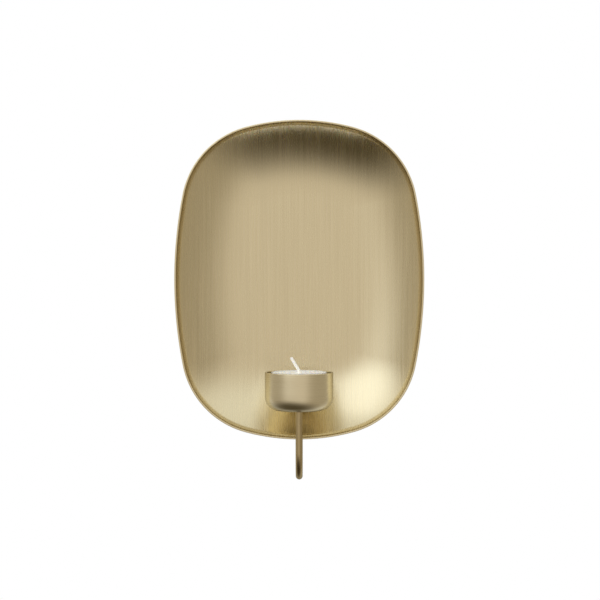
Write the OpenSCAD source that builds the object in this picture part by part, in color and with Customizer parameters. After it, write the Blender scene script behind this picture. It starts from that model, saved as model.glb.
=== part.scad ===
// Wall sconce candle holder: a shallow pressed dish with a tealight cup on a bent rod.
// Origin: centre of the hanger's keyhole, on the wall plane. +Z is up, -Y faces the room.

/* [Dish] */
// Width of the dish over its rim
dish_w = 180; // [170:1:190]
// Height of the dish over its rim
dish_h = 230; // [220:1:240]
// Depth of the dish, from the back of its floor to its rim
dish_depth = 26.5; // [26.2:0.1:28]
// Thickness of the dish's sheet
sheet_t = 1.2; // [1:0.1:1.4]
// Radius of the outline's two long side arcs
side_r = 315; // [300:5:330]
// Radius of the outline's top and bottom arcs
top_r = 149; // [140:1:160]
// Radius of the outline's four corner arcs
corner_r = 62.5; // [60:0.5:65]
// Slope of the lip, measured from the dish's floor
lip_angle = 77; // [72:1:77]
// Inner radius of the bend below the lip
wall_r = 10; // [9:0.5:10]
// Inner radius of the wide blend into the floor
floor_r = 72; // [70:0.5:73]
// Slope where the wide blend meets the tighter bend
blend_angle = 44; // [42:0.5:44.5]
// Height of the hanger's keyhole above the dish's centre
hanger_rise = 44; // [42:1:46]

/* [Arm] */
// Diameter of the rod
rod_d = 5; // [4.5:0.1:5.5]
// Radius of the U-bend, on the rod's centre line
bend_r = 20; // [19:0.5:21]
// Depth of the rod's lowest point below the dish's centre
arm_drop = 145; // [140:1:150]
// Height of the rear leg's upper bend, below the dish's centre
leg_top = 12; // [8:1:16]
// Radius of the bend at the top of the rear leg
foot_bend_r = 7; // [6:0.5:8]
// Length of the straight foot at the top of the rear leg
foot_len = 9; // [6:1:14]

/* [Cup] */
// Outer diameter of the cup
cup_d = 48.6; // [48:0.1:50]
// Height of the cup
cup_h = 27; // [26:0.5:28]
// Depth of the cup's rim below the dish's centre
cup_drop = 65.7; // [63:0.1:68]
// Thickness of the cup's wall
cup_wall = 1.5; // [1.2:0.1:1.8]
// Thickness of the cup's floor
cup_floor = 2; // [1.8:0.1:2.2]
// Outer radius of the cup's bottom corner
cup_corner = 9.5; // [9:0.1:10]
// Inner radius of the cup's bottom corner
cup_inner_corner = 6.5; // [6:0.1:7]

/* [Tealight] */
// Outer diameter of the tealight's shell
tea_d = 39.4; // [38:0.1:40]
// Height of the tealight's shell
tea_h = 25.4; // [24:0.1:26]
// Thickness of the shell
shell_t = 0.6; // [0.5:0.1:0.8]
// Outer radius of the shell's bottom corner
shell_corner = 4; // [3.6:0.1:5]
// Depth of the wax below the shell's edge
wax_below = 0.5; // [0.3:0.1:2]
// Diameter of the wick
wick_d = 2.3; // [1.5:0.1:2.4]
// Lean of the wick's free end from upright
wick_lean = 31; // [0:1:45]
// Length of the wick's straight free end
wick_free = 10; // [6:0.5:12]

/* [Hanger and fixings] */
// Gap from the wall to the back of the dish
wall_gap = 8; // [7.5:0.5:9]
// Width of the hanger's raised web
web_w = 30; // [28:1:34]
// Height of the hanger
hanger_h = 32; // [30:1:36]
// Width of each of the hanger's flat feet
hanger_foot = 13; // [12:1:16]
// Thickness of the hanger's strap
hanger_t = 1.6; // [1.5:0.1:2]
// Diameter of the keyhole's entry
key_d = 9.5; // [9:0.1:10]
// Width of the keyhole's slot
key_slot_w = 4.4; // [4:0.1:4.6]
// Distance from the entry's centre to the centre of the slot's end
key_rise = 9; // [8:0.5:10]
// Thread diameter of the studs and of the cup screw
thread_d = 3; // [3:0.1:3.2]
// Height of a saddle
saddle_h = 12; // [10:1:14]
// Width of a saddle over its two feet
saddle_w = 28; // [27:1:32]
// Thickness of a saddle's strap
saddle_t = 1.2; // [1:0.1:1.3]

/* [Hidden] */

$fa = 3;
$fs = 0.4;
eps = 0.01;
fit = 0.05;

// Dish: the outline is eight arcs, tangent to each other. A corner arc's centre lies
// side_r - corner_r from a side arc's centre and top_r - corner_r from a top arc's centre.
side_x = dish_w / 2 - side_r;
top_z = dish_h / 2 - top_r;
side_reach = side_r - corner_r;
top_reach = top_r - corner_r;
centres_apart = norm([side_x, top_z]);
along = (side_reach * side_reach - top_reach * top_reach + centres_apart * centres_apart)
    / (2 * centres_apart);
across = sqrt(side_reach * side_reach - along * along);
corner_x = side_x - (side_x * along + top_z * across) / centres_apart;
corner_z = (top_z * along - side_x * across) / centres_apart;
side_angle = atan2(corner_z, corner_x - side_x);
top_angle = atan2(corner_x, corner_z - top_z);
side_steps = 8;
top_steps = 8;
corner_steps = 12;

// Dish: the wall's section, from the flat floor out to the rim
wall_out_r = wall_r + sheet_t;
floor_out_r = floor_r + sheet_t;
rim_z = wall_gap + dish_depth;
bend_rise = wall_out_r * (cos(blend_angle) - cos(lip_angle));
blend_rise = floor_out_r * (1 - cos(blend_angle));
lip_rise = dish_depth - bend_rise - blend_rise;
wall_run = lip_rise / tan(lip_angle) + wall_out_r * (sin(lip_angle) - sin(blend_angle))
    + floor_out_r * sin(blend_angle);
blend_steps = 7;
bend_steps = 4;

dish_z = -hanger_rise;

// Arm
rod_r = rod_d / 2;
leg_y = rod_r - wall_gap;
arm_y = leg_y - 2 * bend_r;
cup_z = dish_z - cup_drop - cup_h;
bend_z = dish_z - arm_drop + rod_r + bend_r;
leg_top_z = dish_z - leg_top;
tap_depth = 9;

// Tealight
tea_z = cup_z + cup_floor;
tea_r = tea_d / 2;
wick_bend_r = 4;
wax_top_z = tea_z + tea_h - wax_below;
tab_t = 0.4;
tab_r = 6;
neck_h = 3.4;
neck_r = wick_d / 2 + 0.4;

// Fixings
stud_len = 6.2;
stud_x = 22.5;
saddle_stud_x = 9.5;
plate_corner = 3;
hole_r = thread_d / 2 + 0.2;
nut_af = 5.5;
nut_h = 2.4;
washer_r = 3.5;
washer_t = 0.5;
upper_saddle_z = dish_z - 22;
lower_saddle_z = dish_z - 50;
bumper_x = 24;
bumper_z = dish_z - 48;
screw_len = 8;
screw_head_r = 2.8;
screw_cone = 1.6;

brass = [0.77, 0.69, 0.5];
zinc = [0.72, 0.73, 0.74];

// Puts a shape drawn as seen from the room, with its depth towards the viewer, on the wall
module from_wall() {
    rotate([90, 0, 0]) children();
}

// Flat sector of a ring, centred on the origin
module ring_sector(r_in, r_out, a0, a1) {
    reach = 2 * r_out;
    mid = (a0 + a1) / 2;
    intersection() {
        difference() {
            circle(r_out);
            circle(r_in);
        }
        polygon([
            [0, 0],
            reach * [cos(a0), sin(a0)],
            reach * [cos(mid), sin(mid)],
            reach * [cos(a1), sin(a1)],
        ]);
    }
}

// Points of one outline arc, each with the arc's outward direction there: [x, z, out_x, out_z]
function outline_arc(x, z, r, a0, a1, steps) = [
    for (i = [0:steps - 1])
        let (a = a0 + (a1 - a0) * i / steps)
        [x + r * cos(a), z + r * sin(a), cos(a), sin(a)]
];

// The right and upper half of the outline, anticlockwise from the lower right
function half_outline() = concat(
    outline_arc(side_x, 0, side_r, -side_angle, side_angle, side_steps),
    outline_arc(corner_x, corner_z, corner_r, side_angle, 90 - top_angle, corner_steps),
    outline_arc(0, top_z, top_r, 90 - top_angle, 90 + top_angle, top_steps),
    outline_arc(-corner_x, corner_z, corner_r, 90 + top_angle, 180 - side_angle, corner_steps)
);

// One face of the wall's section as [inset from the outline, distance from the wall behind],
// from the floor to the rim. The back face has skin 0, and the front face has skin sheet_t.
function section_face(skin) =
    let (
        floor_cz = wall_gap + floor_out_r,
        shift = floor_out_r - wall_out_r,
        bend_u = wall_run - shift * sin(blend_angle),
        bend_cz = floor_cz - shift * cos(blend_angle)
    )
    concat(
        [
            for (i = [0:blend_steps - 1])
                let (a = blend_angle * i / blend_steps, r = floor_out_r - skin)
                [wall_run - r * sin(a), floor_cz - r * cos(a)]
        ],
        [
            for (i = [0:bend_steps])
                let (
                    a = blend_angle + (lip_angle - blend_angle) * i / bend_steps,
                    r = wall_out_r - skin
                )
                [bend_u - r * sin(a), bend_cz - r * cos(a)]
        ],
        [[skin / sin(lip_angle), rim_z]]
    );

function reversed(list) = [for (i = [len(list) - 1:-1:0]) list[i]];

module dish_shell() {
    half = half_outline();
    outline = concat(half, -half);
    section = concat(section_face(0), reversed(section_face(sheet_t)));
    n = len(outline);
    rings = len(section);
    ring_points = [
        for (s = section, o = outline)
            [o[0] - s[0] * o[2], o[1] - s[0] * o[3], s[1]]
    ];
    back_hub = n * rings;
    front_hub = back_hub + 1;
    bands = [
        for (j = [0:rings - 2], i = [0:n - 1], upper = [0, 1])
            let (
                a = j * n + i,
                b = j * n + (i + 1) % n,
                c = b + n,
                d = a + n
            )
            upper ? [a, d, c] : [a, c, b]
    ];
    back_floor = [for (i = [0:n - 1]) [back_hub, i, (i + 1) % n]];
    front_floor = [
        for (i = [0:n - 1])
            let (first = (rings - 1) * n)
            [front_hub, first + (i + 1) % n, first + i]
    ];
    polyhedron(
        points = concat(ring_points, [[0, 0, wall_gap], [0, 0, wall_gap + sheet_t]]),
        faces = concat(bands, back_floor, front_floor)
    );
}

module reflector_dish() {
    color(brass)
        translate([0, 0, dish_z])
            from_wall() dish_shell();
}

// Places a copy at each of the hanger's two studs
module at_hanger_studs() {
    for (x = [-stud_x, stud_x])
        translate([x, 0, 0]) children();
}

// Places a copy at each of the saddles' four studs
module at_saddle_studs() {
    for (x = [-saddle_stud_x, saddle_stud_x], z = [upper_saddle_z, lower_saddle_z])
        translate([x, z, 0]) children();
}

module stud() {
    tip = 0.4;
    translate([0, 0, wall_gap - stud_len + tip])
        cylinder(h = stud_len - tip, r = thread_d / 2);
    translate([0, 0, wall_gap - stud_len])
        cylinder(h = tip, r1 = thread_d / 2 - tip, r2 = thread_d / 2);
}

module weld_studs() {
    color(brass)
        from_wall() {
            at_hanger_studs() stud();
            at_saddle_studs() stud();
        }
}

module washer(seat) {
    translate([0, 0, wall_gap - seat - washer_t])
        difference() {
            cylinder(h = washer_t, r = washer_r);
            translate([0, 0, -eps]) cylinder(h = washer_t + 2 * eps, r = hole_r);
        }
}

// Hexagon nut on a washer that lies on a strap of thickness seat
module nut(seat) {
    corner = nut_af / sqrt(3);
    cut = 0.35;
    translate([0, 0, wall_gap - seat - washer_t - nut_h])
        difference() {
            intersection() {
                cylinder(h = nut_h, r = corner, $fn = 6);
                union() {
                    cylinder(h = cut, r1 = corner - 2 * cut, r2 = corner + eps);
                    translate([0, 0, cut]) cylinder(h = nut_h - cut, r = corner + eps);
                }
            }
            translate([0, 0, -eps]) cylinder(h = nut_h + 2 * eps, r = thread_d / 2 + fit);
        }
}

// Upright block, as deep as the gap behind the dish, that rounds the corners of a bent strap
module rounded_block(w, low, h, r) {
    linear_extrude(wall_gap) {
        translate([-w / 2, low + r]) square([w, h - 2 * r]);
        translate([-w / 2 + r, low]) square([w - 2 * r, h]);
        for (x = [r - w / 2, w / 2 - r], y = [low + r, low + h - r])
            translate([x, y]) circle(r);
    }
}

// Half of the hanger's bent section: across in x, away from the wall in y
module hanger_section() {
    r_in = hanger_t;
    r_out = 2 * hanger_t;
    edge = web_w / 2;
    translate([-eps, 0])
        square([edge - r_out + eps, hanger_t]);
    translate([edge - r_out, r_out])
        ring_sector(r_in, r_out, -90, 0);
    translate([edge - hanger_t, r_out])
        square([hanger_t, wall_gap - 2 * r_out]);
    translate([edge + r_in, wall_gap - r_out])
        ring_sector(r_in, r_out, 90, 180);
    translate([edge + r_in, wall_gap - hanger_t])
        square([hanger_foot, hanger_t]);
}

// Outline of a keyhole: the entry, and the slot above it
module keyhole() {
    circle(d = key_d);
    translate([-key_slot_w / 2, 0])
        square([key_slot_w, key_rise]);
    translate([0, key_rise])
        circle(d = key_slot_w);
}

module hanger_bracket() {
    low = -(hanger_h - key_rise) / 2 + 1;
    hanger_w = web_w + 2 * (hanger_t + hanger_foot);
    color(zinc)
        from_wall()
            difference() {
                intersection() {
                    translate([0, low + hanger_h, 0])
                        rotate([90, 0, 0])
                            linear_extrude(hanger_h) {
                                hanger_section();
                                mirror([1, 0]) hanger_section();
                            }
                    rounded_block(hanger_w, low, hanger_h, plate_corner);
                }
                translate([0, 0, -eps])
                    linear_extrude(hanger_t + 2 * eps) keyhole();
                at_hanger_studs() cylinder(h = wall_gap + eps, r = hole_r);
            }
}

module hanger_washers() {
    color(zinc) from_wall() at_hanger_studs() washer(hanger_t);
}

module hanger_nuts() {
    color(zinc) from_wall() at_hanger_studs() nut(hanger_t);
}

// The rod: cup end, U-bend, rear leg, and a foot turned sideways above the upper saddle
module support_arm() {
    color(brass)
        difference() {
            union() {
                translate([0, arm_y, bend_z])
                    cylinder(h = cup_z - bend_z, r = rod_r);
                translate([0, arm_y + bend_r, bend_z])
                    rotate([-90, 0, 90])
                        rotate_extrude(angle = 180)
                            translate([bend_r, 0]) circle(rod_r);
                translate([0, leg_y, bend_z])
                    cylinder(h = leg_top_z - bend_z, r = rod_r);
                translate([foot_bend_r, leg_y, leg_top_z])
                    rotate([90, 0, 0])
                        rotate([0, 0, 90])
                            rotate_extrude(angle = 90)
                                translate([foot_bend_r, 0]) circle(rod_r);
                translate([foot_bend_r, leg_y, leg_top_z + foot_bend_r])
                    rotate([0, 90, 0])
                        cylinder(h = foot_len, r = rod_r);
            }
            translate([0, arm_y, cup_z - tap_depth])
                cylinder(h = tap_depth + eps, r = thread_d / 2 + fit);
        }
}

// Half of a saddle's section: half a strap over the rod and one foot
module saddle_section() {
    r_in = rod_r + fit;
    r_out = r_in + saddle_t;
    translate([0, wall_gap - rod_r])
        ring_sector(r_in, r_out, -90, 0);
    translate([r_in, wall_gap - rod_r])
        square([saddle_t, rod_r]);
    translate([r_in, wall_gap - saddle_t])
        square([saddle_w / 2 - r_in, saddle_t]);
}

module saddle(z) {
    color(brass)
        from_wall()
            difference() {
                intersection() {
                    translate([0, z + saddle_h / 2, 0])
                        rotate([90, 0, 0])
                            linear_extrude(saddle_h) {
                                saddle_section();
                                mirror([1, 0]) saddle_section();
                            }
                    rounded_block(saddle_w, z - saddle_h / 2, saddle_h, plate_corner);
                }
                for (x = [-saddle_stud_x, saddle_stud_x])
                    translate([x, z, 0]) cylinder(h = wall_gap + eps, r = hole_r);
            }
}

module upper_saddle() {
    saddle(upper_saddle_z);
}

module lower_saddle() {
    saddle(lower_saddle_z);
}

module saddle_washers() {
    color(zinc) from_wall() at_saddle_studs() washer(saddle_t);
}

module saddle_nuts() {
    color(zinc) from_wall() at_saddle_studs() nut(saddle_t);
}

// Two rubber bumpers, each a low cone with a dimple in its face
module wall_bumpers() {
    base_r = 6.5;
    face_r = 5;
    dimple_r = 2;
    dimple_depth = 1.5;
    color([0.2, 0.2, 0.2])
        from_wall()
            for (x = [-bumper_x, bumper_x])
                translate([x, bumper_z, 0])
                    difference() {
                        cylinder(h = wall_gap, r1 = face_r, r2 = base_r);
                        translate([0, 0, -eps]) cylinder(h = dimple_depth, r = dimple_r);
                    }
}

// Solid of revolution's section with a rounded bottom corner
module round_bottom(r, h, corner) {
    square([r - corner, h]);
    translate([0, corner])
        square([r, h - corner]);
    translate([r - corner, corner])
        circle(corner);
}

module candle_cup() {
    inner_r = cup_d / 2 - cup_wall;
    sink_r = screw_head_r + 0.2;
    color(brass)
        translate([0, arm_y, cup_z])
            difference() {
                rotate_extrude()
                    difference() {
                        round_bottom(cup_d / 2, cup_h, cup_corner);
                        translate([0, cup_floor])
                            round_bottom(inner_r, cup_h, cup_inner_corner);
                    }
                translate([0, 0, -eps]) cylinder(h = cup_floor + 2 * eps, r = hole_r);
                translate([0, 0, cup_floor - screw_cone])
                    cylinder(h = screw_cone + eps, r1 = hole_r, r2 = sink_r);
            }
}

// Countersunk screw, its head just below the cup's floor
module cup_screw() {
    head_z = cup_z + cup_floor - 2 * fit;
    socket_af = 2;
    socket_depth = 1.1;
    color(zinc)
        translate([0, arm_y, head_z])
            difference() {
                union() {
                    translate([0, 0, -screw_len])
                        cylinder(h = screw_len - screw_cone + eps, r = thread_d / 2);
                    translate([0, 0, -screw_cone])
                        cylinder(h = screw_cone, r1 = thread_d / 2, r2 = screw_head_r);
                }
                translate([0, 0, -socket_depth])
                    cylinder(h = socket_depth + eps, r = socket_af / sqrt(3), $fn = 6);
            }
}

module tealight_shell() {
    color([0.93, 0.94, 0.95, 0.5])
        translate([0, arm_y, tea_z])
            rotate_extrude()
                difference() {
                    round_bottom(tea_r, tea_h, shell_corner);
                    translate([0, shell_t])
                        round_bottom(tea_r - shell_t, tea_h, shell_corner - shell_t);
                }
}

// Tin disc with a short neck that grips the wick
module wick_tab() {
    color(zinc)
        translate([0, arm_y, tea_z + shell_t])
            difference() {
                union() {
                    cylinder(h = tab_t, r = tab_r);
                    cylinder(h = neck_h, r = neck_r);
                }
                translate([0, 0, tab_t]) cylinder(h = neck_h, r = wick_d / 2);
            }
}

module tealight_wax() {
    height = tea_h - shell_t - wax_below;
    color([0.96, 0.95, 0.91])
        translate([0, arm_y, tea_z + shell_t])
            difference() {
                rotate_extrude()
                    round_bottom(tea_r - shell_t - fit, height, shell_corner - shell_t);
                translate([0, 0, -eps]) cylinder(h = tab_t + eps, r = tab_r);
                cylinder(h = neck_h, r = neck_r);
                cylinder(h = height + eps, r = wick_d / 2);
            }
}

// Upright inside the wax, then a bend and a free end that leans to the left
module wick() {
    r = wick_d / 2;
    overlap = 0.2;
    foot_z = tea_z + shell_t + tab_t;
    color([0.96, 0.95, 0.92])
        translate([0, arm_y, 0]) {
            translate([0, 0, foot_z])
                cylinder(h = wax_top_z - foot_z, r = r);
            translate([-wick_bend_r, 0, wax_top_z])
                rotate([90, 0, 0])
                    rotate_extrude(angle = wick_lean)
                        translate([wick_bend_r, 0]) circle(r);
            translate([-wick_bend_r, 0, wax_top_z])
                rotate([0, -wick_lean, 0])
                    translate([wick_bend_r, 0, -overlap])
                        cylinder(h = wick_free + overlap, r = r - fit);
        }
}

reflector_dish();
weld_studs();
hanger_bracket();
hanger_washers();
hanger_nuts();
support_arm();
upper_saddle();
lower_saddle();
saddle_washers();
saddle_nuts();
wall_bumpers();
candle_cup();
cup_screw();
tealight_shell();
tealight_wax();
wick_tab();
wick();
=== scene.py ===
import math
import random

import bpy
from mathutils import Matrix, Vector


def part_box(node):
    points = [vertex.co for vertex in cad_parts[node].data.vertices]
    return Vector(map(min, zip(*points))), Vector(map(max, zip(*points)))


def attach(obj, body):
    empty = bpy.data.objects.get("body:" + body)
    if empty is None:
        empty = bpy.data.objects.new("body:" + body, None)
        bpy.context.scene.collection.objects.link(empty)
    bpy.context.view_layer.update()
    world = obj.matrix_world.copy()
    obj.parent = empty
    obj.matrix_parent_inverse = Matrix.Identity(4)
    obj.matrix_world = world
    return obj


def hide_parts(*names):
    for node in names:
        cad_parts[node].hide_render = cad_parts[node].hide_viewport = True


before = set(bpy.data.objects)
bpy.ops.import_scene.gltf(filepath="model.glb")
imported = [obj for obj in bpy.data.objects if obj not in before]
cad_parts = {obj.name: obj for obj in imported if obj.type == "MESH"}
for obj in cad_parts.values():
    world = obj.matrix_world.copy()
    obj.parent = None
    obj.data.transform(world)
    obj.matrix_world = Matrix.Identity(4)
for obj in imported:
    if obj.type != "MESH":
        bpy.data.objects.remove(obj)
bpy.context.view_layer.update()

MM = 0.001

# Boxes of the CAD nodes: everything below is placed from these
dish_lo, dish_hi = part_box("reflector_dish")
cup_lo, cup_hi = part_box("candle_cup")
arm_lo, arm_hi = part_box("support_arm")
shell_lo, shell_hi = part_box("tealight_shell")
wax_lo, wax_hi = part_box("tealight_wax")
wick_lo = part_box("wick")[0]
stud_lo, stud_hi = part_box("weld_studs")
bumper_lo, bumper_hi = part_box("wall_bumpers")
upper_lo, upper_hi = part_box("upper_saddle")
lower_lo, lower_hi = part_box("lower_saddle")
screw_lo, screw_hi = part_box("cup_screw")

dish_centre = (dish_lo + dish_hi) / 2
cup_y = (cup_lo.y + cup_hi.y) / 2

# Dish, in metres: the outline's arcs and the wall's section
SHEET = 1.2 * MM
SIDE_R, TOP_R, CORNER_R = 315 * MM, 149 * MM, 62.5 * MM
WALL_R, FLOOR_R = 10 * MM, 72 * MM
LIP_ANGLE, BLEND_ANGLE = math.radians(77), math.radians(44)
# The front of the floor is very slightly hollow: its depth at the centre, and its slope outside
CROWN, CROWN_ANGLE = 0.5 * MM, math.radians(1.3)

# Radius of the studs' and the screw's thread, and of the pinhole left where a turned piece closes
THREAD_R = 1.5 * MM
POLE_R = 0.02 * MM

# Sockets of a colour Mix node: its two colours and its result
MIX_FIRST, MIX_SECOND, MIX_RESULT = 6, 7, 2


# Geometry helpers ---------------------------------------------------------------------------

def spread(start, end, count):
    """count + 1 values from start to end."""
    return [start + (end - start) * i / count for i in range(count + 1)]


def rounded(corners, steps=5):
    """Polyline through (a, b, radius) corners, each corner with a radius replaced by an arc."""
    points = []
    for i, (a, b, radius) in enumerate(corners):
        here = Vector((a, b))
        if radius <= 0 or i in (0, len(corners) - 1):
            points.append((a, b))
            continue
        back = (Vector(corners[i - 1][:2]) - here).normalized()
        ahead = (Vector(corners[i + 1][:2]) - here).normalized()
        half = back.angle(ahead) / 2
        centre = here + (back + ahead).normalized() * (radius / math.sin(half))
        first = here + back * (radius / math.tan(half)) - centre
        last = here + ahead * (radius / math.tan(half)) - centre
        turn = first.angle_signed(last)
        for t in spread(0, 1, steps):
            angle = -turn * t
            x = first.x * math.cos(angle) - first.y * math.sin(angle)
            y = first.x * math.sin(angle) + first.y * math.cos(angle)
            points.append((centre.x + x, centre.y + y))
    return points


def add_mesh(name, verts, faces, uvs=None, crease=35):
    """New object with smooth faces, sharp only where the surface turns by more than crease."""
    mesh = bpy.data.meshes.new(name)
    mesh.from_pydata(verts, [], faces)
    mesh.validate()
    if uvs:
        layer = mesh.uv_layers.new(name="grain")
        for loop in mesh.loops:
            layer.data[loop.index].uv = uvs[loop.vertex_index]
    mesh.shade_smooth()
    mesh.set_sharp_from_angle(angle=math.radians(crease))
    obj = bpy.data.objects.new(name, mesh)
    bpy.context.scene.collection.objects.link(obj)
    return obj


def bands(rows, cols, closed_rows=False):
    """Quads between rows of cols points, each row a closed ring."""
    faces = []
    for j in range(rows if closed_rows else rows - 1):
        here, there = j * cols, ((j + 1) % rows) * cols
        for i in range(cols):
            k = (i + 1) % cols
            faces.append((here + i, here + k, there + k, there + i))
    return faces


def off_flat(angle):
    """Angle from the middle of the nearest side of a hexagon."""
    return (angle + math.pi / 6) % (math.pi / 3) - math.pi / 6


def turned(name, profile, centre, axis="Z", segments=96, hexagon=None, shift=None):
    """Solid of revolution from a closed (radius, height) profile, about Z or towards +Y.

    hexagon is the distance across the flats of a hexagon that holds the profile in, and shift
    moves a point along the axis by a function of its radius and angle."""
    verts, uvs, length = [], [], 0
    for j, (radius, height) in enumerate(profile):
        length += math.dist(profile[j], profile[j - 1]) if j else 0
        for i in range(segments):
            angle = math.tau * i / segments
            r, h = radius, height
            if hexagon:
                r = min(r, hexagon / 2 / math.cos(off_flat(angle)))
            if shift:
                h += shift(r, angle, h)
            x, y = r * math.cos(angle), r * math.sin(angle)
            point = Vector((x, y, h)) if axis == "Z" else Vector((x, h, -y))
            verts.append(point + Vector(centre))
            uvs.append((length, angle * 0.02))
    faces = bands(len(profile), segments, closed_rows=True)
    return add_mesh(name, verts, faces, uvs)


def swept(name, path, radius_at, sides, round_ends=(0, 0)):
    """Tube along path. radius_at(distance, angle) gives its radius, and its ends are closed."""
    rings, distance = [], 0
    tangents = []
    for i in range(len(path)):
        ahead = path[min(i + 1, len(path) - 1)] - path[max(i - 1, 0)]
        tangents.append(ahead.normalized())
    side = tangents[0].orthogonal().normalized()
    total = sum((path[i + 1] - path[i]).length for i in range(len(path) - 1))
    for i, centre in enumerate(path):
        if i:
            distance += (path[i] - path[i - 1]).length
            side = tangents[i - 1].rotation_difference(tangents[i]) @ side
        other = tangents[i].cross(side)
        rings.append((centre, side, other, distance))
    verts, uvs = [], []
    for centre, u, v, s in rings:
        shrink = end_shrink(s, round_ends[0]) * end_shrink(total - s, round_ends[1])
        for k in range(sides):
            angle = math.tau * k / sides
            r = radius_at(s, angle) * shrink
            verts.append(centre + u * r * math.cos(angle) + v * r * math.sin(angle))
            uvs.append((angle * 0.01, s))
    faces = bands(len(rings), sides)
    faces.append(tuple(reversed(range(sides))))
    last = (len(rings) - 1) * sides
    faces.append(tuple(last + k for k in range(sides)))
    return add_mesh(name, verts, faces, uvs)


def end_shrink(distance, rounding):
    """Share of the radius left near a tube's rounded end."""
    if rounding <= 0 or distance >= rounding:
        return 1
    reach = 1 - distance / rounding
    return 0.55 + 0.45 * math.sqrt(max(0, 1 - reach * reach))


def joined(name, objects):
    """One object holding all of these."""
    bpy.ops.object.select_all(action="DESELECT")
    for obj in objects:
        obj.select_set(True)
    bpy.context.view_layer.objects.active = objects[0]
    bpy.ops.object.join()
    objects[0].name = name
    objects[0].data.name = name
    return objects[0]


def finish_piece(obj, material, body, slot, *nodes):
    """Paints a new piece, puts it on its body and hides the CAD nodes it stands for."""
    obj.data.materials.clear()
    obj.data.materials.append(material)
    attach(obj, body)
    if nodes:
        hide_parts(*nodes)
    return obj


# Materials ----------------------------------------------------------------------------------

class Paint:
    """Small helper to wire a material's nodes."""

    def __init__(self, name):
        self.material = bpy.data.materials.new(name)
        self.material.use_nodes = True
        self.tree = self.material.node_tree
        self.shader = self.tree.nodes["Principled BSDF"]
        self.place = self.tree.nodes.new("ShaderNodeTexCoord").outputs["Object"]

    def set(self, **values):
        for key, value in values.items():
            self.shader.inputs[key.replace("_", " ")].default_value = value

    def link(self, source, target):
        self.tree.links.new(source, target)

    def noise(self, scale, detail=3, roughness=0.55, seed=0):
        """Noise stretched by a scale along each axis, in cells per metre."""
        mapping = self.tree.nodes.new("ShaderNodeMapping")
        mapping.inputs["Scale"].default_value = scale
        mapping.inputs["Location"].default_value = (seed, seed * 0.7, seed * 1.3)
        self.link(self.place, mapping.inputs["Vector"])
        texture = self.tree.nodes.new("ShaderNodeTexNoise")
        texture.inputs["Scale"].default_value = 1
        texture.inputs["Detail"].default_value = detail
        texture.inputs["Roughness"].default_value = roughness
        self.link(mapping.outputs["Vector"], texture.inputs["Vector"])
        return texture.outputs["Fac"]

    def ranged(self, fac, low, high, start=0.3, end=0.7):
        """fac from start..end mapped to low..high."""
        node = self.tree.nodes.new("ShaderNodeMapRange")
        node.inputs["From Min"].default_value = start
        node.inputs["From Max"].default_value = end
        node.inputs["To Min"].default_value = low
        node.inputs["To Max"].default_value = high
        self.link(fac, node.inputs["Value"])
        return node.outputs["Result"]

    def mixed(self, fac, one, other, blend="MIX"):
        """Colour between one and other, each a colour or a socket."""
        node = self.tree.nodes.new("ShaderNodeMix")
        node.data_type = "RGBA"
        node.blend_type = blend
        for socket, value in ((node.inputs[MIX_FIRST], one), (node.inputs[MIX_SECOND], other)):
            if isinstance(value, tuple):
                socket.default_value = (*value, 1)
            else:
                self.link(value, socket)
        self.link(fac, node.inputs[0])
        return node.outputs[MIX_RESULT]

    def summed(self, one, other, share):
        """one + other * share."""
        node = self.tree.nodes.new("ShaderNodeMath")
        node.operation = "MULTIPLY_ADD"
        node.inputs[1].default_value = share
        self.link(other, node.inputs[0])
        self.link(one, node.inputs[2])
        return node.outputs[0]

    def facing(self, low, high):
        """low where the surface runs front to back, high where it faces the front or the wall."""
        geometry = self.tree.nodes.new("ShaderNodeNewGeometry")
        split = self.tree.nodes.new("ShaderNodeSeparateXYZ")
        self.link(geometry.outputs["Normal"], split.inputs[0])
        size = self.tree.nodes.new("ShaderNodeMath")
        size.operation = "ABSOLUTE"
        self.link(split.outputs["Y"], size.inputs[0])
        steep, flat = 0.5, 0.97
        return self.ranged(size.outputs[0], low, high, steep, flat)

    def bump(self, height, strength, distance):
        node = self.tree.nodes.new("ShaderNodeBump")
        if isinstance(strength, float):
            node.inputs["Strength"].default_value = strength
        else:
            self.link(strength, node.inputs["Strength"])
        node.inputs["Distance"].default_value = distance
        self.link(height, node.inputs["Height"])
        self.link(node.outputs["Normal"], self.shader.inputs["Normal"])

    def edges(self, low=0.52, high=0.6):
        """1 on sharp outer edges, 0 on flat faces."""
        geometry = self.tree.nodes.new("ShaderNodeNewGeometry")
        return self.ranged(geometry.outputs["Pointiness"], 0, 1, low, high)

    def grain_direction(self):
        tangent = self.tree.nodes.new("ShaderNodeTangent")
        tangent.direction_type = "UV_MAP"
        tangent.uv_map = "grain"
        self.link(tangent.outputs["Tangent"], self.shader.inputs["Tangent"])


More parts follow.
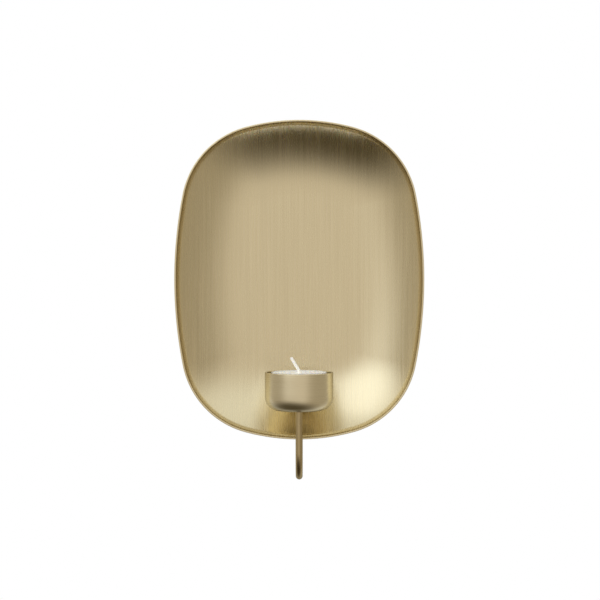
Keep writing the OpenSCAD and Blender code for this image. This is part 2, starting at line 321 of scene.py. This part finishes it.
def brushed(name, colour, rough, fine, broad, depth=0.3, stretch=0.5, coat=0.0, grain=True,
            edge=0.8, calm=False):
    """Brushed metal. fine and broad are the streaks' cells per metre along X, Y and Z.

    edge is the metal's brightness seen at a low angle, and calm flattens the streaks on walls."""
    paint = Paint(name)
    streaks = paint.noise(fine, detail=2, roughness=0.6)
    strands = paint.noise(broad, detail=3, seed=3.1)
    blotches = paint.noise((28, 28, 28), detail=2, seed=7.7)
    both = paint.summed(streaks, strands, 0.6)
    dark = tuple(c * 0.965 for c in colour)
    light = tuple(min(1, c * 1.03) for c in colour)
    base = paint.mixed(paint.ranged(both, 0, 1, 0.6, 1.0), dark, light)
    # Sharp edges are lightened by 12 %: partly edge wear, partly a painted highlight along edges such as
    # the dish's rim.
    wear_and_highlight = tuple(min(1, c * 1.12) for c in colour)
    base = paint.mixed(paint.edges(), base, wear_and_highlight)
    paint.link(base, paint.shader.inputs["Base Color"])
    rough_fine = paint.ranged(both, rough - 0.05, rough + 0.06, 0.55, 1.05)
    rough_all = paint.summed(rough_fine, blotches, 0.05)
    paint.link(rough_all, paint.shader.inputs["Roughness"])
    paint.set(Metallic=1.0, Anisotropic=stretch, Coat_Weight=coat, Coat_Roughness=0.12,
              Specular_Tint=(edge, edge * 0.96, edge * 0.9, 1))
    paint.bump(both, paint.facing(depth * 0.25, depth) if calm else depth, 0.02 * MM)
    if grain:
        paint.grain_direction()
    return paint.material


def plain(name, colour, rough, variation, scale, depth, distance, **values):
    """Matt or gloss material with mottled colour, roughness and a fine surface."""
    paint = Paint(name)
    mottle = paint.noise((scale, scale, scale), detail=4)
    speck = paint.noise((scale * 6,) * 3, detail=2, seed=5)
    dark = tuple(c * (1 - variation) for c in colour)
    light = tuple(min(1, c * (1 + variation)) for c in colour)
    base = paint.mixed(paint.ranged(mottle, 0, 1), dark, light)
    paint.link(base, paint.shader.inputs["Base Color"])
    rough_all = paint.ranged(mottle, rough - 0.06, rough + 0.06)
    paint.link(rough_all, paint.shader.inputs["Roughness"])
    paint.bump(paint.summed(mottle, speck, 0.5), depth, distance)
    paint.set(**values)
    return paint.material


DISH_COLOUR = (0.80, 0.71, 0.49)
ROD_COLOUR = (0.50, 0.40, 0.225)
CUP_COLOUR = (0.80, 0.715, 0.505)
FIXING_COLOUR = (0.58, 0.485, 0.285)

dish_metal = brushed("dish_brass", DISH_COLOUR, 0.23, (1300, 30, 14), (380, 16, 7),
                     depth=0.14, stretch=0.5, coat=0.1, edge=0.7, calm=True)
cup_metal = brushed("cup_brass", CUP_COLOUR, 0.27, (14, 14, 3200), (8, 8, 1500),
                    depth=0.025, stretch=0.2, coat=0.05, edge=0.5)
rod_metal = brushed("rod_brass", ROD_COLOUR, 0.26, (900, 900, 60), (300, 300, 20),
                    depth=0.15, stretch=0.3, coat=0.05, edge=0.4)
fixing_metal = brushed("fixing_brass", FIXING_COLOUR, 0.33, (700, 700, 120), (200, 200, 40),
                       depth=0.2, stretch=0.0, grain=False)
zinc_metal = brushed("zinc_steel", (0.60, 0.61, 0.62), 0.38, (500, 500, 500), (130, 130, 130),
                     depth=0.25, stretch=0.0, grain=False)
tin_metal = brushed("tin_plate", (0.70, 0.70, 0.69), 0.3, (600, 600, 600), (120, 120, 120),
                    depth=0.2, stretch=0.0, grain=False)
rubber = plain("bumper_rubber", (0.022, 0.022, 0.023), 0.72, 0.25, 900, 0.4, 0.05 * MM)
clear = plain("clear_plastic", (0.97, 0.975, 0.98), 0.12, 0.01, 60, 0.1, 0.02 * MM,
              Alpha=0.4, IOR=1.49)
# The wax glows faintly through its Emission: painted light that brightens it beyond what the studio
# lights give.
wax_with_painted_glow = plain("white_wax", (0.93, 0.935, 0.93), 0.45, 0.015, 180, 0.12, 0.1 * MM,
                 Subsurface_Weight=0.6, Subsurface_Radius=(4 * MM, 3.4 * MM, 2.6 * MM),
                 Subsurface_Scale=1.0, Emission_Color=(1, 0.98, 0.95, 1), Emission_Strength=0.14)
# The wick glows faintly through its Emission, like the wax: painted light that brightens it.
wick_with_painted_glow = plain("wick_cotton", (0.93, 0.92, 0.88), 0.6, 0.05, 1500, 0.6, 0.08 * MM,
               Subsurface_Weight=0.3, Subsurface_Radius=(1 * MM, 0.9 * MM, 0.7 * MM),
               Subsurface_Scale=1.0, Emission_Color=(1, 0.98, 0.93, 1), Emission_Strength=0.15)


# Dish ---------------------------------------------------------------------------------------

def half_outline(half_w, half_h):
    """Right and upper half of the dish's outline: (x, z, outward x, outward z)."""
    side_x, top_z = half_w - SIDE_R, half_h - TOP_R
    side_reach, top_reach = SIDE_R - CORNER_R, TOP_R - CORNER_R
    apart = math.hypot(side_x, top_z)
    along = (side_reach ** 2 - top_reach ** 2 + apart ** 2) / (2 * apart)
    across = math.sqrt(side_reach ** 2 - along ** 2)
    corner_x = side_x - (side_x * along + top_z * across) / apart
    corner_z = (top_z * along - side_x * across) / apart
    side = math.atan2(corner_z, corner_x - side_x)
    top = math.atan2(corner_x, corner_z - top_z)
    quarter = math.pi / 2
    arcs = (
        (side_x, 0, SIDE_R, -side, side, 36),
        (corner_x, corner_z, CORNER_R, side, quarter - top, 36),
        (0, top_z, TOP_R, quarter - top, quarter + top, 30),
        (-corner_x, corner_z, CORNER_R, quarter + top, math.pi - side, 36),
    )
    points = []
    for x, z, r, start, end, steps in arcs:
        for a in spread(start, end, steps)[:-1]:
            points.append((x + r * math.cos(a), z + r * math.sin(a), math.cos(a), math.sin(a)))
    return points


def dish_section(back, rim):
    """Closed section of the dish's wall as (inset from the outline, distance from the wall)."""
    outer_r, wide_r = WALL_R + SHEET, FLOOR_R + SHEET
    bend_rise = outer_r * (math.cos(BLEND_ANGLE) - math.cos(LIP_ANGLE))
    blend_rise = wide_r * (1 - math.cos(BLEND_ANGLE))
    lip_rise = rim - back - bend_rise - blend_rise
    run = lip_rise / math.tan(LIP_ANGLE)
    run += outer_r * (math.sin(LIP_ANGLE) - math.sin(BLEND_ANGLE)) + wide_r * math.sin(BLEND_ANGLE)
    wide_z = back + wide_r
    narrow_u = run - (wide_r - outer_r) * math.sin(BLEND_ANGLE)
    narrow_z = wide_z - (wide_r - outer_r) * math.cos(BLEND_ANGLE)

    def face(skin):
        points, first = [], CROWN_ANGLE if skin else 0
        for a in spread(first, BLEND_ANGLE, 30)[:-1]:
            r = wide_r - skin
            points.append((run - r * math.sin(a), wide_z - r * math.cos(a)))
        for a in spread(BLEND_ANGLE, LIP_ANGLE, 14):
            r = outer_r - skin
            points.append((narrow_u - r * math.sin(a), narrow_z - r * math.cos(a)))
        return points

    edge = 0.24 * MM
    rim_corners = [(*face(0)[-1], 0), (0, rim, edge), (SHEET / math.sin(LIP_ANGLE), rim, edge),
                   (*face(SHEET)[-1], 0)]
    return face(0)[:-1] + rounded(rim_corners, 4) + face(SHEET)[-2::-1]


def make_dish():
    half = half_outline((dish_hi.x - dish_lo.x) / 2, (dish_hi.z - dish_lo.z) / 2)
    outline = half + [(-x, -z, -a, -b) for x, z, a, b in half]
    section = dish_section(-dish_hi.y, -dish_lo.y)
    count = len(outline)
    verts = []

    def ring(inset, depth, share=1.0):
        for x, z, out_x, out_z in outline:
            px, pz = (x - inset * out_x) * share, (z - inset * out_z) * share
            verts.append((px + dish_centre.x, -depth, pz + dish_centre.z))

    floor_rings = 18
    shares = spread(1, 0, floor_rings)[1:-1]
    for share in reversed(shares):
        ring(*section[0], share)
    for inset, depth in section:
        ring(inset, depth)
    inset, depth = section[-1]
    for share in shares:
        ring(inset, depth - CROWN * (1 - share ** 2), share)
    rows = len(verts) // count
    faces = [tuple(reversed(f)) for f in bands(rows, count)]
    hub_back, hub_front = len(verts), len(verts) + 1
    verts.append((dish_centre.x, -section[0][1], dish_centre.z))
    verts.append((dish_centre.x, CROWN - section[-1][1], dish_centre.z))
    last = (rows - 1) * count
    for i in range(count):
        k = (i + 1) % count
        faces.append((hub_back, i, k))
        faces.append((hub_front, last + k, last + i))
    uvs = [(v[0], v[2]) for v in verts]
    return add_mesh("dish_sheet", verts, faces, uvs, crease=60)


finish_piece(make_dish(), dish_metal, "sconce", "dish_brass", "reflector_dish")


# Cup and its screw --------------------------------------------------------------------------

def make_cup():
    radius, height = (cup_hi.x - cup_lo.x) / 2, cup_hi.z - cup_lo.z
    wall, floor, lip = 1.5 * MM, 2 * MM, 0.45 * MM
    inner = radius - wall
    hole, countersink, sink_low = 1.7 * MM, 2.95 * MM, 0.4 * MM
    corners = [
        (hole, sink_low, 0), (hole, 0, 0.15 * MM), (radius, 0, 9.5 * MM), (radius, height, lip),
        (inner, height, lip), (inner, floor, 6.5 * MM), (countersink, floor, 0.12 * MM),
        (hole, sink_low, 0),
    ]
    profile = []
    for point in rounded(corners, 12)[:-1]:
        if profile and math.dist(point, profile[-1]) > 3 * MM:
            last = profile[-1]
            for t in (0.25, 0.5, 0.75):
                r = last[0] + (point[0] - last[0]) * t
                profile.append((r, last[1] + (point[1] - last[1]) * t))
        profile.append(point)
    return turned("cup_body", profile, (0, cup_y, cup_lo.z), segments=160)


def make_cup_screw():
    """Countersunk screw with a rolled thread. The turned socket is squeezed to a hexagon."""
    head, thread, tip, pole = 2.8 * MM, THREAD_R, 0.4 * MM, 0.01 * MM
    top, cone = screw_hi.z - screw_lo.z, 1.6 * MM
    key, deep = 2 * MM, 1.1 * MM
    socket = key / math.sqrt(3)
    profile = [(pole, top - deep), (socket - 0.05 * MM, top - deep),
               (socket, top - 1.0 * MM), (socket, top - 0.12 * MM), (socket + 0.15 * MM, top),
               (head - 0.12 * MM, top), (head, top - 0.1 * MM), (thread, top - cone)]
    pitch, depth, z = 0.5 * MM, 0.16 * MM, top - cone - 0.2 * MM
    while z > tip + pitch:
        profile += [(thread, z), (thread - depth, z - pitch / 2)]
        z -= pitch
    profile += [(thread, tip), (thread - tip, 0), (pole, 0)]
    screw = turned("cup_screw_body", profile, (0, cup_y, screw_lo.z), segments=48)
    for vertex in screw.data.vertices:
        away = math.hypot(vertex.co.x, vertex.co.y - cup_y)
        in_socket = vertex.co.z > screw_lo.z + top - deep - 0.05 * MM
        if in_socket and 0.5 * MM < away <= socket + 0.01 * MM:
            angle = math.atan2(vertex.co.y - cup_y, vertex.co.x)
            scale = key / 2 / math.cos(off_flat(angle)) / away
            vertex.co.x *= scale
            vertex.co.y = cup_y + (vertex.co.y - cup_y) * scale
    screw.data.set_sharp_from_angle(angle=math.radians(35))
    return screw


finish_piece(make_cup(), cup_metal, "sconce", "cup_brass", "candle_cup")
finish_piece(make_cup_screw(), zinc_metal, "sconce", "zinc_steel", "cup_screw")


# Arm ----------------------------------------------------------------------------------------

def arc(centre, one, other, radius, start, end, steps):
    """Points of an arc in the plane of the directions one and other."""
    return [centre + one * radius * math.cos(a) + other * radius * math.sin(a)
            for a in spread(start, end, steps)]


def make_arm():
    rod = 2.5 * MM
    right, up, front = Vector((1, 0, 0)), Vector((0, 0, 1)), Vector((0, -1, 0))
    rear_y, front_y = arm_hi.y - rod, arm_lo.y + rod
    bend = (rear_y - front_y) / 2
    bend_z = arm_lo.z + rod + bend
    foot_r = 7 * MM
    foot_z = arm_hi.z - rod
    path = [Vector((0, front_y, z)) for z in spread(cup_lo.z, bend_z, 14)]
    middle = Vector((0, (rear_y + front_y) / 2, bend_z))
    path += arc(middle, front, -up, bend, 0, math.pi, 56)[1:]
    path += [Vector((0, rear_y, z)) for z in spread(bend_z, foot_z - foot_r, 40)][1:]
    path += arc(Vector((foot_r, rear_y, foot_z - foot_r)), -right, up, foot_r, 0, math.pi / 2, 20)[1:]
    foot_end, rounding = arm_hi.x, 0.5 * MM
    along_foot = spread(foot_r, foot_end - rounding, 6)[1:] + spread(foot_end - rounding, foot_end, 5)[1:]
    path += [Vector((x, rear_y, foot_z)) for x in along_foot]
    return swept("arm_rod", path, lambda s, a: rod, 40, (0, rounding))


finish_piece(make_arm(), rod_metal, "sconce", "rod_brass", "support_arm")


# Tealight -----------------------------------------------------------------------------------

def make_shell():
    radius, height = (shell_hi.x - shell_lo.x) / 2, shell_hi.z - shell_lo.z
    wall, corner = 0.6 * MM, 4 * MM
    corners = [
        (POLE_R, 0.45 * MM, 0), (12 * MM, 0.45 * MM, 0.3 * MM), (12.8 * MM, 0, 0.3 * MM),
        (radius, 0, corner), (radius, height, 0.25 * MM), (radius - wall, height, 0.25 * MM),
        (radius - wall, wall, corner - wall), (POLE_R, wall, 0),
    ]
    return turned("tealight_cup", rounded(corners, 8), (0, cup_y, shell_lo.z), segments=128)


def wax_surface(r, angle, h):
    """Small unevenness of the poured wax, only on its upper face."""
    if h < (wax_hi.z - wax_lo.z) - 1.6 * MM:
        return 0
    ripple = math.sin(angle * 3 + r * 700) + 0.6 * math.sin(angle * 5 - r * 1100)
    return 0.012 * MM * ripple * min(1, r / (6 * MM)) - 0.03 * MM


def make_wax():
    radius, height = (wax_hi.x - wax_lo.x) / 2, wax_hi.z - wax_lo.z
    bore, corner = 1.17 * MM, 3.4 * MM
    profile = rounded([(bore, 1 * MM, 0), (bore, 0, 0), (radius, 0, corner),
                       (radius, height - 0.3 * MM, 0)], 8)
    for t in spread(0, 1, 10):
        # Raised where the wax clings to the shell, and a shallow dip round the wick
        r = radius - t * 3 * MM
        cling = math.exp(-(radius - r) / (0.7 * MM)) * 0.25 * MM
        profile.append((r, height - 0.28 * MM + cling))
    for t in spread(0, 1, 22)[1:]:
        r = (radius - 3 * MM) * (1 - t) + bore * t
        dip = 0.5 * MM * math.exp(-((r - bore) / (2.2 * MM)) ** 2)
        profile.append((r, height - 0.28 * MM - dip))
    return turned("wax_fill", profile, (0, cup_y, wax_lo.z), segments=128, shift=wax_surface)


def make_wick():
    radius, bend_r, free = 1.1 * MM, 4 * MM, 10 * MM
    lean = math.radians(31)
    foot = wick_lo.z
    top = shell_hi.z - 0.5 * MM
    left, up = Vector((-1, 0, 0)), Vector((0, 0, 1))
    path = [Vector((0, cup_y, z)) for z in spread(foot, top, 60)]
    path += arc(Vector((-bend_r, cup_y, top)), -left, up, bend_r, 0, lean, 18)[1:]
    along = up * math.cos(lean) + left * math.sin(lean)
    start = path[-1]
    path += [start + along * d for d in spread(0, free - 0.02 * MM, 70)[1:]]
    pitch = 3.2 * MM

    def braid(s, angle):
        twist = math.tau * s / pitch
        weave = math.sin(3 * angle + twist * 2) * math.sin(3 * angle - twist * 2)
        return radius * (0.94 + 0.055 * weave)

    return swept("wick_braid", path, braid, 36, (0, 0.9 * MM))


finish_piece(make_shell(), clear, "tealight", "clear_plastic", "tealight_shell")
finish_piece(make_wax(), wax_with_painted_glow, "tealight", "white_wax", "tealight_wax")
finish_piece(make_wick(), wick_with_painted_glow, "tealight", "wick_cotton", "wick")


# Fixings ------------------------------------------------------------------------------------

hanger_x = (stud_hi.x - stud_lo.x) / 2 - THREAD_R
saddle_x = 9.5 * MM
saddle_zs = ((upper_lo.z + upper_hi.z) / 2, (lower_lo.z + lower_hi.z) / 2)
HANGER_STUDS = [(-hanger_x, 0), (hanger_x, 0)]
SADDLE_STUDS = [(x, z) for z in saddle_zs for x in (-saddle_x, saddle_x)]


def make_stud(x, z):
    """M3 stud with a rolled thread and a small weld collar at the dish."""
    thread, tip, collar = THREAD_R, 0.4 * MM, 0.5 * MM
    length = stud_hi.y - stud_lo.y
    pitch, depth = 0.5 * MM, 0.15 * MM
    profile = [(POLE_R, 0), (thread - tip, 0), (thread, tip)]
    y = tip + 0.1 * MM
    while y < length - 1.4 * MM:
        profile += [(thread, y), (thread - depth, y + pitch * 0.5), (thread, y + pitch * 0.9)]
        y += pitch
    profile += [(thread * 0.96, length - collar - 0.1 * MM), (thread, length - collar),
                (thread + 0.12 * MM, length - collar / 2), (thread + 0.2 * MM, length),
                (POLE_R, length)]
    profile = [(r, -h) for r, h in profile]
    return turned("stud", profile, (x, stud_hi.y, z), axis="Y", segments=32)


def make_washer(x, z, back):
    inner, outer, thick = 1.7 * MM, 3.5 * MM, 0.5 * MM
    corners = [(inner, thick / 2, 0), (inner, 0, 0.06 * MM), (outer, 0, 0.16 * MM),
               (outer, thick, 0.05 * MM), (inner, thick, 0.1 * MM), (inner, thick / 2, 0)]
    return turned("washer", rounded(corners, 4)[:-1], (x, back, z), axis="Y", segments=56)


def make_nut(x, z, back, turn):
    flats, thick, bore = 5.5 * MM, 2.4 * MM, 1.55 * MM
    corner, cut = flats / math.sqrt(3), 0.35 * MM
    face = flats / 2 * 0.95
    mouth, mouth_depth = bore + 0.25 * MM, 0.22 * MM
    edge, edge_drop = face + 0.12 * MM, 0.02 * MM
    profile = [(bore, thick / 2), (bore, mouth_depth), (mouth, 0), (face, 0),
               (edge, edge_drop), (corner, cut), (corner, thick - cut),
               (edge, thick - edge_drop), (face, thick), (mouth, thick),
               (bore, thick - mouth_depth)]
    nut = turned("nut", profile, (0, 0, 0), axis="Y", segments=96, hexagon=flats)
    nut.rotation_euler = (0, turn, 0)
    nut.location = (x, back, z)
    bpy.context.view_layer.update()
    nut.data.transform(nut.matrix_world)
    nut.rotation_euler, nut.location = (0, 0, 0), (0, 0, 0)
    return nut


def make_bumper(x, z):
    low, high, depth = 5 * MM, 6.5 * MM, bumper_hi.y - bumper_lo.y
    corners = [
        (POLE_R, 1.5 * MM, 0), (2 * MM, 1.5 * MM, 0.3 * MM), (2 * MM, 0, 0.3 * MM),
        (low, 0, 0.7 * MM), (low + (high - low) * 0.45, depth * 0.45, 0.2 * MM),
        (low + (high - low) * 0.45 - 0.3 * MM, depth * 0.5, 0.2 * MM),
        (low + (high - low) * 0.6, depth * 0.56, 0.2 * MM), (high, depth, 0.15 * MM),
        (POLE_R, depth, 0),
    ]
    profile = [(r, -h) for r, h in rounded(corners, 5)]
    return turned("bumper", profile, (x, bumper_hi.y, z), axis="Y", segments=72)


random.seed(11)
# Where each set of washers and nuts starts, on the side of the wall
hanger_washer_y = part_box("hanger_washers")[0].y
saddle_washer_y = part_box("saddle_washers")[0].y
hanger_nut_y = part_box("hanger_nuts")[0].y
saddle_nut_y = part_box("saddle_nuts")[0].y

finish_piece(joined("weld_studs_threaded", [make_stud(x, z) for x, z in HANGER_STUDS + SADDLE_STUDS]),
             fixing_metal, "sconce", "fixing_brass", "weld_studs")
finish_piece(joined("hanger_washer_pair", [make_washer(x, z, hanger_washer_y) for x, z in HANGER_STUDS]),
             zinc_metal, "sconce", "zinc_steel", "hanger_washers")
finish_piece(joined("saddle_washer_set", [make_washer(x, z, saddle_washer_y) for x, z in SADDLE_STUDS]),
             zinc_metal, "sconce", "zinc_steel", "saddle_washers")
finish_piece(joined("hanger_nut_pair", [make_nut(x, z, hanger_nut_y, random.uniform(0, 1))
                                        for x, z in HANGER_STUDS]),
             zinc_metal, "sconce", "zinc_steel", "hanger_nuts")
finish_piece(joined("saddle_nut_set", [make_nut(x, z, saddle_nut_y, random.uniform(0, 1))
                                       for x, z in SADDLE_STUDS]),
             zinc_metal, "sconce", "zinc_steel", "saddle_nuts")
bumper_x = (bumper_hi.x - bumper_lo.x) / 2 - 6.5 * MM
bumper_z = (bumper_lo.z + bumper_hi.z) / 2
finish_piece(joined("bumper_pair", [make_bumper(x, bumper_z) for x in (-bumper_x, bumper_x)]),
             rubber, "sconce", "bumper_rubber", "wall_bumpers")


def dress(node, material, width):
    """Gives a CAD node its material and softens its edges."""
    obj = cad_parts[node]
    obj.data.materials.clear()
    obj.data.materials.append(material)
    if width:
        bevel = obj.modifiers.new("soft_edges", "BEVEL")
        bevel.width = width
        bevel.segments = 2
        bevel.limit_method = "ANGLE"
        bevel.angle_limit = math.radians(40)
        bevel.harden_normals = False
        weld = obj.modifiers.new("even_normals", "WEIGHTED_NORMAL")
        weld.keep_sharp = True


dress("hanger_bracket", zinc_metal, 0.25 * MM)
dress("upper_saddle", fixing_metal, 0.2 * MM)
dress("lower_saddle", fixing_metal, 0.2 * MM)
dress("wick_tab", tin_metal, 0)


# Studio -------------------------------------------------------------------------------------

def towards(turn, tilt):
    """Direction tilted from straight in front, and turned anticlockwise from the right."""
    turn, tilt = math.radians(turn), math.radians(tilt)
    across = math.sin(tilt)
    return Vector((across * math.cos(turn), -math.cos(tilt), across * math.sin(turn)))


# The studio has one colour in front, and soft areas laid over it one after the other: above,
# behind, left, right, below the front, and the light at the upper left. Each has its middle, the
# angle in degrees round it that is full, the angle where it ends, and its colour.
FRONT_COLOUR = (0.68, 0.62, 0.54)
STUDIO_AREAS = (
    (towards(90, 90), 30, 85, (0.90, 0.90, 0.86)),
    (towards(0, 180), 50, 90, (0.90, 0.90, 0.86)),
    (towards(180, 80), 10, 40, (0.45, 0.40, 0.32)),
    (towards(-20, 75), 20, 60, (0.40, 0.35, 0.27)),
    (towards(-105, 80), 15, 70, (0.07, 0.055, 0.03)),
    (towards(130, 50), 10, 40, (1.25, 1.28, 1.30)),
)
KEY_DIRECTION = towards(120, 45)


def studio_world():
    """World with the studio's soft areas, the same from every camera."""
    world = bpy.data.worlds.new("studio")
    bpy.context.scene.world = world
    world.use_nodes = True
    tree = world.node_tree
    tree.nodes.clear()
    background = tree.nodes.new("ShaderNodeBackground")
    output = tree.nodes.new("ShaderNodeOutputWorld")
    place = tree.nodes.new("ShaderNodeTexCoord")
    colour = None
    for middle, full, end, area_colour in STUDIO_AREAS:
        closeness = tree.nodes.new("ShaderNodeVectorMath")
        closeness.operation = "DOT_PRODUCT"
        closeness.inputs[1].default_value = middle
        tree.links.new(place.outputs["Generated"], closeness.inputs[0])
        share = tree.nodes.new("ShaderNodeMapRange")
        share.interpolation_type = "SMOOTHSTEP"
        share.inputs["From Min"].default_value = math.cos(math.radians(end))
        share.inputs["From Max"].default_value = math.cos(math.radians(full))
        tree.links.new(closeness.outputs["Value"], share.inputs["Value"])
        mix = tree.nodes.new("ShaderNodeMix")
        mix.data_type = "RGBA"
        mix.inputs[MIX_FIRST].default_value = (*FRONT_COLOUR, 1)
        mix.inputs[MIX_SECOND].default_value = (*area_colour, 1)
        tree.links.new(share.outputs["Result"], mix.inputs[0])
        if colour:
            tree.links.new(colour, mix.inputs[MIX_FIRST])
        colour = mix.outputs[MIX_RESULT]
    tree.links.new(colour, background.inputs["Color"])
    tree.links.new(background.outputs[0], output.inputs["Surface"])


def emitting(name, colour, fade=None):
    """Plain pale surface that shows the same from every side, whiter towards radius fade."""
    material = bpy.data.materials.new(name)
    material.use_nodes = True
    tree = material.node_tree
    tree.nodes.clear()
    glow = tree.nodes.new("ShaderNodeEmission")
    glow.inputs["Color"].default_value = (*colour, 1)
    if fade:
        place = tree.nodes.new("ShaderNodeTexCoord")
        length = tree.nodes.new("ShaderNodeVectorMath")
        length.operation = "LENGTH"
        tree.links.new(place.outputs["Object"], length.inputs[0])
        reach = tree.nodes.new("ShaderNodeMapRange")
        reach.interpolation_type = "SMOOTHSTEP"
        reach.inputs["From Min"].default_value = fade * 0.2
        reach.inputs["From Max"].default_value = fade
        reach.inputs["To Min"].default_value = 1
        reach.inputs["To Max"].default_value = 1 / colour[0]
        tree.links.new(length.outputs["Value"], reach.inputs["Value"])
        tree.links.new(reach.outputs["Result"], glow.inputs["Strength"])
    output = tree.nodes.new("ShaderNodeOutputMaterial")
    tree.links.new(glow.outputs[0], output.inputs["Surface"])
    return material


def backdrop():
    """Pale floor and a white sweep round it, seen by the camera only."""
    radius, low_z = 8.0, -1.2
    floor_z, floor_r, floor_rings = low_z + 0.35, 2.3, 12
    cols = 96
    rows = [(radius * math.sin(a), low_z + radius * (1 - math.cos(a))) for a in spread(0, math.pi, 48)]

    def circle(r, z):
        angles = [math.tau * i / cols for i in range(cols)]
        return [(r * math.cos(angle), r * math.sin(angle), z) for angle in angles]

    verts = [point for r, z in rows[1:-1] for point in circle(r, z)]
    faces = bands(len(rows) - 2, cols)
    faces.append(tuple(range(cols)))
    faces.append(tuple(reversed(range(len(verts) - cols, len(verts)))))
    sweep = add_mesh("studio_sweep", verts, faces)
    sweep.data.materials.append(emitting("sweep_white", (1.0, 1.0, 1.0)))
    disc = [point for r in spread(0, floor_r, floor_rings)[1:] for point in circle(r, floor_z)]
    disc_faces = bands(floor_rings, cols) + [tuple(reversed(range(cols)))]
    floor = add_mesh("studio_floor", disc, disc_faces)
    floor.data.materials.append(emitting("floor_pale", (0.965, 0.965, 0.965), floor_r))
    for obj in (sweep, floor):
        obj.visible_diffuse = False
        obj.visible_glossy = False
        obj.visible_shadow = False


def key_light():
    """Weak square softbox at the upper left, turned to the dish."""
    side, power, distance = 1.2, 0.4, 1.5
    light = bpy.data.lights.new("key_upper_left", "AREA")
    light.shape = "RECTANGLE"
    light.size, light.size_y = side, side
    light.energy = power
    light.color = (0.97, 1.0, 1.05)
    lamp = bpy.data.objects.new("key_upper_left", light)
    lamp.location = dish_centre + KEY_DIRECTION * distance
    lamp.rotation_mode = "QUATERNION"
    lamp.rotation_quaternion = (dish_centre - lamp.location).to_track_quat("-Z", "Y")
    lamp.visible_camera = False
    bpy.context.scene.collection.objects.link(lamp)


def make_camera():
    """Almost level with the dish's centre, a little to its right, looking along +Y."""
    distance = 0.899
    offset_x, offset_z = 0.006, -0.004
    aim_x, aim_z = 0.0006, -0.0145
    camera = bpy.data.objects.new("camera", bpy.data.cameras.new("camera"))
    camera.data.lens, camera.data.sensor_width = 75, 36
    camera.location = (offset_x, dish_lo.y - distance, dish_centre.z + offset_z)
    aim = Vector((aim_x, dish_lo.y, dish_centre.z + aim_z))
    camera.rotation_mode = "QUATERNION"
    camera.rotation_quaternion = (aim - camera.location).to_track_quat("-Z", "Y")
    bpy.context.scene.collection.objects.link(camera)
    bpy.context.scene.camera = camera


studio_world()
backdrop()
key_light()
make_camera()
bpy.context.scene.view_settings.view_transform = "Standard"
